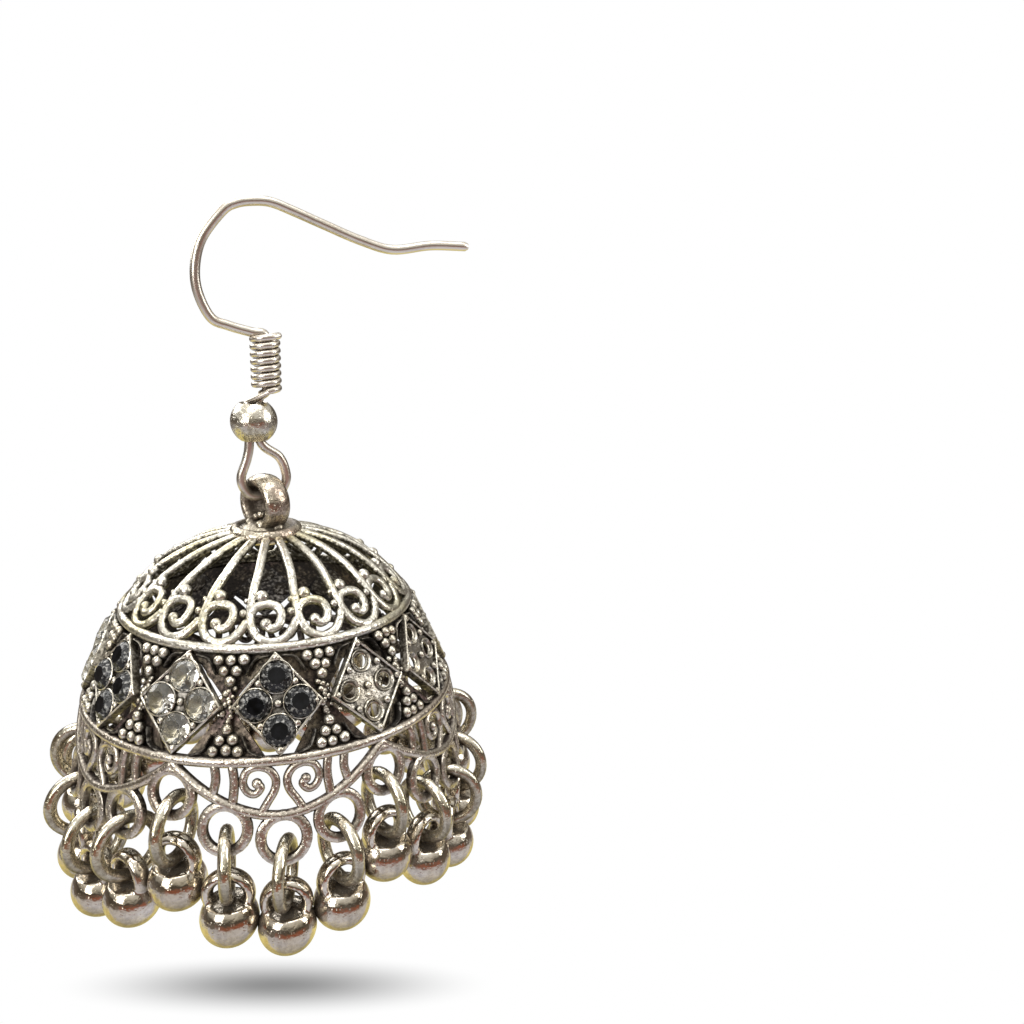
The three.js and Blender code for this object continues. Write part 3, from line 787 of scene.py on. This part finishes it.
def edge_slope(share):
    """How steep the edge is there."""
    rise = SCALLOP_DEPTH * SCALLOP_ROUND * abs(share) ** (SCALLOP_ROUND - 1)
    return math.copysign(rise, share) / half_scallop


def skirt_place(azimuth, across, height):
    """A place on the skirt: across is measured where the eyelets hang."""
    radius = LOWER_RIM - height * SKIRT_FLARE
    return facing(lambda u, v: skirt(azimuth, u, v), across * radius / panel_radius, height)


def skirt_wire(casting, azimuth, path, width, depth, steps):
    """A wire on the skirt along a path of across and height."""
    line = smooth([Vector(point) for point in path], steps)
    places = [skirt_place(azimuth, point.x, point.y) for point in line]
    add_wire(casting, places, width, depth)


print("a scallop is", round(2 * half_scallop, 2), "mm wide and", SCALLOP_DEPTH, "mm deep")

# %% One scallop with its spirals, posts and eyelets
spiral_path = [(1.5, -1.25), (1.28, -1.5), (1.62, -1.86), (2.1, -1.7), (2.36, -1.15),
               (2.1, -0.52), (1.45, -0.3), (0.75, -0.5), (0.36, -1.05), (0.44, -1.7),
               (0.9, -2.4), (1.25, -2.95)]
post_paths = [[(2.95, -0.2), (2.82, -1.2), (2.95, -2.55)],
              [(4.05, -0.2), (3.95, -1.0), (4.1, -1.75)]]


def eyelet_middle(index):
    """Where an eyelet of a scallop hangs: across and height."""
    share = index / 4 * 2 - 1
    drop = eyelet_radius * math.hypot(1, edge_slope(share))
    return share * half_scallop, edge_height(share) - drop


def add_scallop(casting, azimuth):
    """One scallop of the skirt."""
    shares = [k / 32 * 2 - 1 for k in range(33)]
    edge = [(share * half_scallop, edge_height(share)) for share in shares]
    skirt_wire(casting, azimuth, edge, SCALLOP_WIRE, SCALLOP_WIRE * 1.05, 2)
    for side in (-1, 1):
        spiral = [(side * x * 0.98, y) for x, y in spiral_path]
        skirt_wire(casting, azimuth, spiral, 0.5, 0.5, 5)
        point, _ = skirt_place(azimuth, *spiral[0])
        add_grain(casting, point, 0.62)
        for path in post_paths:
            skirt_wire(casting, azimuth, [(side * x, y) for x, y in path], 0.56, 0.5, 4)
    for index in range(4):
        across, height = eyelet_middle(index)
        eyelet = circle(Vector((across, height)), eyelet_radius, 28)
        ring = [skirt_place(azimuth, point.x, point.y) for point in eyelet]
        add_wire(casting, ring, EYELET_WIRE, EYELET_WIRE * 0.92, 10, True, square=0.85)


skirt_casting = Casting()
add_rim(skirt_casting, LOWER_RIM, 0)
for index in range(SCALLOPS):
    add_scallop(skirt_casting, DOME_TURN + index * scallop_pitch)
make_piece("dome_skirt", skirt_casting, [skirt_silver], "drop", "dome")

# %% [markdown]
# ## Cut stones
# Each stone has a flat table, eight kite-shaped facets round it and sixteen small ones at the
# girdle. Facets must look flat, so nearly every edge here counts as sharp. The black ones are
# opaque glass with a rim that is worn dull; its light grey scuffs are partly wear and partly
# painted glints. The clear ones have a pointed back in a cup of faceted foil, which throws the
# light back through them.


# %% Glass and foil
def smudge(tree, scale, low, high, start=0.4, end=0.7):
    """A value that changes over the surface as if from fingers and dust."""
    return between(tree, noise(tree, place_of(tree), scale, 6), low, high, start, end)


black_glass, tree, shader = plain_shader("black_glass")
tone = mixed(tree, smudge(tree, 2000, 0, 1), (0.003, 0.003, 0.003), (0.012, 0.012, 0.014))
feed(tree, shader, {"Base Color": tone, "Roughness": smudge(tree, 2600, 0.03, 0.16)})
shader.inputs["Specular IOR Level"].default_value = 0.25

worn_glass_with_painted_glints, tree, shader = plain_shader("worn_black_glass_painted_glints")
# Light grey scuffs on the black glass: partly wear, partly painted glints that stand in for small
# highlights.
scuffs_and_painted_glints = smudge(tree, 5200, 0, 1, 0.52, 0.66)
feed(tree, shader, {"Base Color": mixed(tree, scuffs_and_painted_glints, (0.006, 0.006, 0.006), (0.42, 0.41, 0.38)),
                    "Roughness": smudge(tree, 3000, 0.15, 0.5)})
cast_skin(tree, shader, {}, 1.0, 0.0001)

clear_glass, tree, shader = plain_shader("clear_glass")
tone = mixed(tree, smudge(tree, 1600, 0, 1), (0.98, 0.97, 0.93), (0.62, 0.57, 0.42))
feed(tree, shader, {"Base Color": tone, "Roughness": smudge(tree, 1800, 0.0, 0.08)})
shader.inputs["Transmission Weight"].default_value = 0.93
shader.inputs["IOR"].default_value = 1.52

foil = metal("foil", DOME_MIDDLE, (0.97, 0.95, 0.9), (0.5, 0.46, 0.36), (0.9, 0.76, 0.4),
             polish=(0.06, 0.2), low=-1.4, high=0.2, tint_amount=0.6, skin=0.25, depth=0.00005)
print("glass:", black_glass.name, worn_glass_with_painted_glints.name, clear_glass.name, "and", foil.name)

# %% The cut of a stone
STONE_DIAMETER, STONE_TABLE, STONE_TOP, STONE_GIRDLE, STONE_BACK = 1.86, 1.06, 0.46, 0.12, 0.5


def add_stone(casting, matrix, back_height, rim_finish=0):
    """A round brilliant; its back ends in a point at back_height."""
    radius = STONE_DIAMETER / 2
    rows = [(8, 0.0, STONE_TABLE / 2, STONE_TOP),
            (8, 0.5, radius * 0.8, STONE_TOP * 0.68),
            (16, 0.0, radius, STONE_GIRDLE),
            (16, 0.0, radius, 0.0),
            (1, 0.0, 0.0, back_height)]
    points, starts = [], []
    for count, turn, reach, height in rows:
        starts.append(len(points))
        for k in range(count):
            angle = (k + turn) / count * TURN
            flat = Vector((math.cos(angle) * reach, math.sin(angle) * reach, height))
            points.append(matrix @ flat)
    table, kite, girdle, back, tip = starts
    faces = [[table + k for k in range(8)]]
    for k in range(8):
        after, before = (k + 1) % 8, (k - 1) % 8
        faces.append([table + k, kite + k, table + after])
        faces.append([table + k, kite + before, girdle + 2 * k, kite + k])
        faces.append([kite + k, girdle + 2 * k, girdle + 2 * k + 1])
        faces.append([kite + k, girdle + 2 * k + 1, girdle + (2 * k + 2) % 16])
    for k in range(16):
        after = (k + 1) % 16
        faces.append([girdle + k, back + k, back + after, girdle + after])
        faces.append([back + after, back + k, tip])
    casting.add(points, faces, rim_finish)
    casting.finishes[-len(faces)] = 0


print("a stone is", STONE_DIAMETER, "mm across")

# %% The four sets of stones
for place, solid in set_places.items():
    colour = "black_glass" if solid.startswith("black") else "clear_glass"
    stones = Casting()
    matrix = on_band(DOME_TURN + place * lozenge_pitch)
    for index, cup in enumerate(cup_places):
        turned = Matrix.Rotation(0.3 + index * 0.9 + place, 4, "Z")
        tilted = Matrix.Rotation(0.07 * (index - 1.5), 4, "X")
        seat = matrix @ Matrix.Translation((cup.x, cup.y, PLATE / 2 + 0.12)) @ tilted @ turned
        if colour == "black_glass":
            add_stone(stones, seat, -0.02, 1)
        else:
            add_stone(stones, seat, -STONE_BACK)
            cone = [(STONE_DIAMETER / 2, -0.02), (STONE_DIAMETER / 4, -0.04 - STONE_BACK / 2),
                    (0, -0.03 - STONE_BACK)]
            add_turned(stones, cone[::-1], seat, 8, finish=1)
    materials = [black_glass, worn_glass_with_painted_glints] if colour == "black_glass" else [clear_glass, foil]
    make_piece(solid + "_cut", stones, materials, "drop", solid, sharp=8)

# %% [markdown]
# ## Jump rings and ball drops
# Each drop is a ball with a broad cast eye. The two are melted together, so their mesh is made
# by a voxel remesh of both and then smoothed, which leaves a soft neck between them. One mesh
# serves all twenty-four, and each is placed from its own solid.


# %% The shape of one ball drop
def melted(name, casting, voxel, rounds):
    """A mesh with all shapes of a casting fused into one soft skin."""
    mesh = bpy.data.meshes.new(name)
    mesh.from_pydata([point * MM for point in casting.points], [], casting.faces)
    rough = bpy.data.objects.new(name, mesh)
    bpy.context.scene.collection.objects.link(rough)
    fuse = rough.modifiers.new("fuse", "REMESH")
    fuse.mode = "VOXEL"
    fuse.voxel_size = voxel * MM
    fuse.use_smooth_shade = True
    soften = rough.modifiers.new("soften", "SMOOTH")
    soften.iterations = rounds
    bpy.context.view_layer.update()
    depsgraph = bpy.context.evaluated_depsgraph_get()
    made = bpy.data.meshes.new_from_object(rough.evaluated_get(depsgraph))
    bpy.data.objects.remove(rough)
    made.name = name
    return made


EYE_WIDTH, EYE_HOLE, EYE_DEPTH, EYE_HEIGHT = 3.2, 1.75, 1.1, 1.635
ball_radius = BALL_DIAMETER / 2
drop_casting = Casting()
ball_angles = [math.radians(-90 + k * 10) for k in range(14)]
ball_profile = [(math.cos(angle) * ball_radius, math.sin(angle) * ball_radius)
                for angle in ball_angles]
ball_profile[0] = (0, -ball_radius)
ball_profile.append((0, ball_profile[-1][1]))
add_turned(drop_casting, ball_profile, Matrix.Identity(4), 32)
eye_places = hoop(32, (EYE_WIDTH + EYE_HOLE) / 4, (1, 0, 0), (0, 0, 1),
                  Matrix.Translation((0, 0, EYE_HEIGHT)))
add_wire(drop_casting, eye_places, EYE_DEPTH, (EYE_WIDTH - EYE_HOLE) / 2, 12, True)
drop_mesh = melted("ball_drop_shape", drop_casting, 0.09, 5)
drop_mesh.materials.append(ball_silver)
print("a ball drop has", len(drop_mesh.polygons), "faces")

# %% The rings and drops in their places
ring_casting = Casting()
RING_LENGTH, RING_WIRE = 4.6, 0.82
ring_places = hoop(40, (RING_LENGTH - RING_WIRE) / 2, (0, 1, 0), (0, 0, 1),
                   Matrix.Identity(4))
add_wire(ring_casting, ring_places, RING_WIRE * 0.9, RING_WIRE, 12, True)
ring_mesh = mesh_of("jump_ring_shape", ring_casting, [ring_silver])
for index in range(EYELETS):
    number = f"{index + 1:02d}"
    low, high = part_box("jump_ring_" + number)
    ring_middle = (low + high) / 2
    azimuth = math.atan2(ring_middle.x, -ring_middle.y)
    yaw = math.radians(16 * math.sin(index * 2.4))
    turn = Matrix.Rotation(azimuth + yaw, 4, "Z")
    place_piece("ring_" + number, ring_mesh, "drop", "jump_ring_" + number,
                Matrix.Translation(ring_middle) @ turn)
    low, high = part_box("ball_drop_" + number)
    ball_middle = (low + high) / 2
    ball_middle.z = low.z + ball_radius * MM
    turn = Matrix.Rotation(azimuth + yaw / 2, 4, "Z")
    place_piece("drop_" + number, drop_mesh, "drop", "ball_drop_" + number,
                Matrix.Translation(ball_middle) @ turn)
print("placed", 2 * EYELETS, "rings and drops")

# %% [markdown]
# ## Ear wire, coil and bead
# The ear wire is one length of round wire. From its tail it bends over the hook, runs down
# through the bead, loops through the bail and comes back up through the bead, where it winds
# round its own stem as a coil.

# %% The hook, the loop and the coil
HOOK_TOP, ARC_REACH, TAIL_REACH = 31.65, 3.65, 14.1
COIL_TURNS, COIL_PITCH, COIL_BOTTOM, COIL_MIDDLE, COIL_RADIUS = 7, 0.48, 20.0, 0.4, 0.755
LOOP_WIDE, BEAD_HEIGHT, BEAD_SHIFT, LEG_GAP, BAIL_SEAT = 1.45, 17.98, -0.5, 0.08, 0.23
leg = WIRE / 2 + LEG_GAP / 2
bead_foot, bead_top = BEAD_HEIGHT - BEAD_DIAMETER / 2, BEAD_HEIGHT + BEAD_DIAMETER / 2
loop_bottom = bail_height + BAIL_HOLE / 2 - BAIL_SEAT - WIRE / 2
loop_tall = bead_foot - loop_bottom
coil_top = COIL_BOTTOM + COIL_PITCH * COIL_TURNS
tail_path = [(1, 0.29), (0.82, 0.29), (0.635, 0.329), (0.48, 0.263), (0.325, 0.163),
             (0.185, 0.069), (0.08, 0.006), (0, 0)]
arc_path = [(-0.29, 0.022), (-0.52, 0.084), (-0.87, 0.283), (-1, 0.49), (-0.97, 0.675),
            (-0.78, 0.854), (-0.5, 0.912), (-0.12, 0.962)]
loop_path = [(0.72, 0.73), (1, 0.41), (0.94, 0.2), (0.6, 0.022)]
hook_drop = HOOK_TOP - coil_top
hook_points = [(share * TAIL_REACH, HOOK_TOP - drop * hook_drop) for share, drop in tail_path]
hook_points += [(share * ARC_REACH, HOOK_TOP - drop * hook_drop) for share, drop in arc_path]
loop_side = [(share * LOOP_WIDE, loop_bottom + up * loop_tall) for share, up in loop_path]
hook_points += [(COIL_MIDDLE, coil_top + 0.12), (COIL_MIDDLE, coil_top - 0.96),
                (COIL_MIDDLE, (coil_top + COIL_BOTTOM) / 2), (COIL_MIDDLE, COIL_BOTTOM),
                (BEAD_SHIFT + leg, bead_top - 0.2), (BEAD_SHIFT + leg, bead_foot + 0.2),
                *loop_side, (0, loop_bottom), *[(-x, height) for x, height in loop_side[::-1]],
                (BEAD_SHIFT - leg, bead_foot + 0.2), (BEAD_SHIFT - leg, bead_top - 0.4)]
forward = Vector((0, -1, 0))
hook_line = smooth([Vector((x, 0, height - HANG)) for x, height in hook_points], 8)

wire_casting = Casting()
add_wire(wire_casting, [(point, forward) for point in hook_line], WIRE, WIRE, 12)
coil_line = [Vector((BEAD_SHIFT - leg, 0, bead_top - 0.3 - HANG))]
for index in range(COIL_TURNS * 24 + 1):
    angle = index / 24 * TURN - math.pi / 2
    coil_line.append(Vector((COIL_MIDDLE + math.cos(angle) * COIL_RADIUS,
                             math.sin(angle) * COIL_RADIUS,
                             COIL_BOTTOM + COIL_PITCH * index / 24 - HANG)))
coil_line.append(Vector((COIL_MIDDLE + 0.8, -0.45, coil_top + 0.1 - HANG)))
coil_axis = Vector((COIL_MIDDLE, 0, 0))
coil_places = []
for point in coil_line:
    coil_places.append((point, (Vector((point.x, point.y, 0)) - coil_axis).normalized()))
add_wire(wire_casting, coil_places, COIL_WIRE, COIL_WIRE, 10)
make_piece("ear_wire_bright", wire_casting, [wire_silver], "hook", "ear_wire")

# %% The bead
BEAD_BORE = WIRE + LEG_GAP / 2 + 0.12
bead_radius = BEAD_DIAMETER / 2
bead_end = math.acos((BEAD_BORE + 0.1) / bead_radius)
bead_profile = [(math.cos(bead_end * share) * bead_radius, math.sin(bead_end * share) * bead_radius)
                for share in [k / 9 - 1 for k in range(19)]]
bead_profile = [(BEAD_BORE, bead_profile[0][1] + 0.04), *bead_profile,
                (BEAD_BORE, bead_profile[-1][1] - 0.04), (BEAD_BORE, bead_profile[0][1] + 0.04)]
bead_casting = Casting()
bead_place = Matrix.Translation((BEAD_SHIFT, 0, BEAD_HEIGHT - HANG))
add_turned(bead_casting, bead_profile, bead_place, 40)
make_piece("bead_polished", bead_casting, [bead_silver], "hook", "hook_bead")

# %% [markdown]
# ## Floor, light and camera
# The earring hangs a little above a white floor that rises into a backdrop behind it. The floor
# glows evenly white to the camera, and a narrow soft shadow is painted on it under the earring's
# front. Silver shows what it mirrors, so the room around it is uneven: large pale lights with dark
# gaps between them, a warm card in front of it and a yellow ground low down behind it.

# %% The floor
FLOOR = -21.0 - HANG
# Where the painted shadow lies on the floor, how far it reaches and how it is turned.
PAINTED_SHADOW_PLACE, PAINTED_SHADOW_REACH, PAINTED_SHADOW_TURN = (-1.5, -4.7), (15.5, 3.2), math.radians(-23)
BACK = 60
floor_profile = [(-160, FLOOR), (BACK, FLOOR)]
floor_profile += [(BACK + math.sin(a) * BACK, FLOOR + BACK - math.cos(a) * BACK)
                  for a in [math.radians(k * 9) for k in range(1, 11)]]
floor_profile += [(2 * BACK, FLOOR + 260)]
floor_points = [Vector((x, y, z)) * MM for y, z in floor_profile for x in (-300, 300)]
floor_faces = [[2 * k, 2 * k + 1, 2 * k + 3, 2 * k + 2] for k in range(len(floor_profile) - 1)]
floor_mesh = bpy.data.meshes.new("floor")
floor_mesh.from_pydata(floor_points, [], floor_faces)
floor_mesh.polygons.foreach_set("use_smooth", [True] * len(floor_faces))
floor = bpy.data.objects.new("floor", floor_mesh)
bpy.context.scene.collection.objects.link(floor)
floor.visible_glossy = False

# The floor takes no light: for camera rays it glows white, and the grey ellipse mixed into that
# glow is a painted shadow under the earring.
paper_with_painted_shadow, tree, shader = plain_shader("white_paper_painted_shadow")
painted_shadow_map = node(tree, "Mapping", {
    "Vector": place_of(tree),
    "Location": (PAINTED_SHADOW_PLACE[0] * MM, PAINTED_SHADOW_PLACE[1] * MM, FLOOR * MM),
    "Rotation": (0, 0, PAINTED_SHADOW_TURN),
    "Scale": (PAINTED_SHADOW_REACH[0] * MM, PAINTED_SHADOW_REACH[1] * MM, 1)}, vector_type="TEXTURE")
reach = node(tree, "VectorMath", {0: painted_shadow_map.outputs["Vector"]}, operation="LENGTH")
painted_shadow_share = stepped(tree, reach.outputs["Value"], 0.0, 1.0)
seen = node(tree, "LightPath", {}).outputs["Is Camera Ray"]
shader.inputs["Specular IOR Level"].default_value = 0
feed(tree, shader, {"Base Color": (0, 0, 0), "Roughness": smudge(tree, 30, 0.85, 0.95),
                    "Emission Color": mixed(tree, painted_shadow_share, (0.29, 0.29, 0.29), (1, 1, 1)),
                    "Emission Strength": seen})
floor_mesh.materials.append(paper_with_painted_shadow)
print("the floor lies", round(-FLOOR, 1), "mm below the hook")


# %% The lights
def area_light(name, place, size, power):
    """A soft light that faces the middle of the dome; places and sizes are in millimetres."""
    light = bpy.data.lights.new(name, "AREA")
    light.shape = "RECTANGLE"
    light.size, light.size_y = size[0] * MM, size[1] * MM
    light.energy = power
    lamp = bpy.data.objects.new(name, light)
    lamp.location = Vector(place) * MM
    aim = Vector((0, 0, 4 - HANG)) * MM - lamp.location
    lamp.rotation_euler = aim.to_track_quat("-Z", "Y").to_euler()
    bpy.context.scene.collection.objects.link(lamp)


area_light("window_left", (-150, -110, 60), (90, 140), 0.2)
area_light("window_right", (150, -70, 50), (50, 120), 0.09)
area_light("ceiling", (10, -20, 150), (160, 90), 0.13)
area_light("behind", (-40, 90, 40), (140, 60), 0.1)
print("lights:", len(bpy.data.lights))

# %% The room that the silver mirrors
room = bpy.data.worlds.new("room")
bpy.context.scene.world = room
room.use_nodes = True
tree = room.node_tree
towards = place_of(tree, "Generated")
parts = node(tree, "SeparateXYZ", {0: towards}).outputs
unrest = math_node(tree, "SUBTRACT", noise(tree, towards, 2.4, 3), 0.5)
height = math_node(tree, "ADD", parts["Z"], math_node(tree, "MULTIPLY", unrest, 0.5))
height = math_node(tree, "MULTIPLY", math_node(tree, "ADD", height, 1), 0.5)
heights = node(tree, "ValToRGB", {"Fac": height})
room_tones = [(0.0, (0.8, 0.78, 0.74)), (0.08, (0.72, 0.72, 0.78)), (0.13, (0.7, 0.71, 0.82)),
              (0.3, (0.6, 0.6, 0.66)), (0.38, (0.16, 0.13, 0.11)), (0.58, (0.07, 0.06, 0.05)),
              (0.7, (0.5, 0.48, 0.44)), (1.0, (0.8, 0.79, 0.76))]
ends = heights.color_ramp.elements
for index, (position, colour) in enumerate(room_tones):
    stop = ends[0] if index == 0 else ends.new(position)
    stop.position = position
    stop.color = (*colour, 1)
ends.remove(ends[-1])
nearness = stepped(tree, math_node(tree, "MULTIPLY", parts["Y"], -1), 0.45, 0.7)
off_level = math_node(tree, "ABSOLUTE", math_node(tree, "ADD", parts["Z"], 0.2))
at_level = math_node(tree, "SUBTRACT", 1, math_node(tree, "MULTIPLY", off_level, 5), clamp=True)
card = math_node(tree, "MULTIPLY", nearness, at_level, clamp=True)
tone = mixed(tree, card, heights.outputs["Color"], (0.34, 0.115, 0.07))
far = stepped(tree, parts["Y"], -0.05, 0.2)
low = stepped(tree, math_node(tree, "MULTIPLY", parts["Z"], -1), 0.3, 0.6)
tone = mixed(tree, math_node(tree, "MULTIPLY", far, low), tone, (0.9, 0.78, 0.32))
seen = node(tree, "LightPath", {}).outputs["Is Camera Ray"]
feed(tree, tree.nodes["Background"], {"Color": mixed(tree, seen, tone, (1, 1, 1))})
print("tones in the room:", len(ends))

# %% The camera
FOCAL_PIXELS, IMAGE_PIXELS, SENSOR = 1000, 1024, 36.0
PITCH, ROLL, HEADING = math.radians(14.366), math.radians(1.291), math.radians(25)
camera_data = bpy.data.cameras.new("camera")
camera_data.sensor_width = SENSOR
camera_data.lens = SENSOR * FOCAL_PIXELS / IMAGE_PIXELS
camera_data.clip_start = 0.001
camera = bpy.data.objects.new("camera", camera_data)
looking = Vector((math.sin(HEADING) * math.cos(PITCH), math.cos(HEADING) * math.cos(PITCH),
                  -math.sin(PITCH)))
level = looking.cross(Vector((0, 0, 1))).normalized()
upright = level.cross(looking)
to_right = level * math.cos(ROLL) + upright * math.sin(ROLL)
to_top = upright * math.cos(ROLL) - level * math.sin(ROLL)
axes = Matrix((to_right, to_top, -looking)).transposed().to_4x4()
camera.matrix_world = Matrix.Translation(Vector((-12.32, -65.19, -2.63)) * MM) @ axes
bpy.context.scene.collection.objects.link(camera)
bpy.context.scene.camera = camera
bpy.context.scene.view_settings.view_transform = "Standard"
print("the lens is", round(camera_data.lens, 2), "mm")
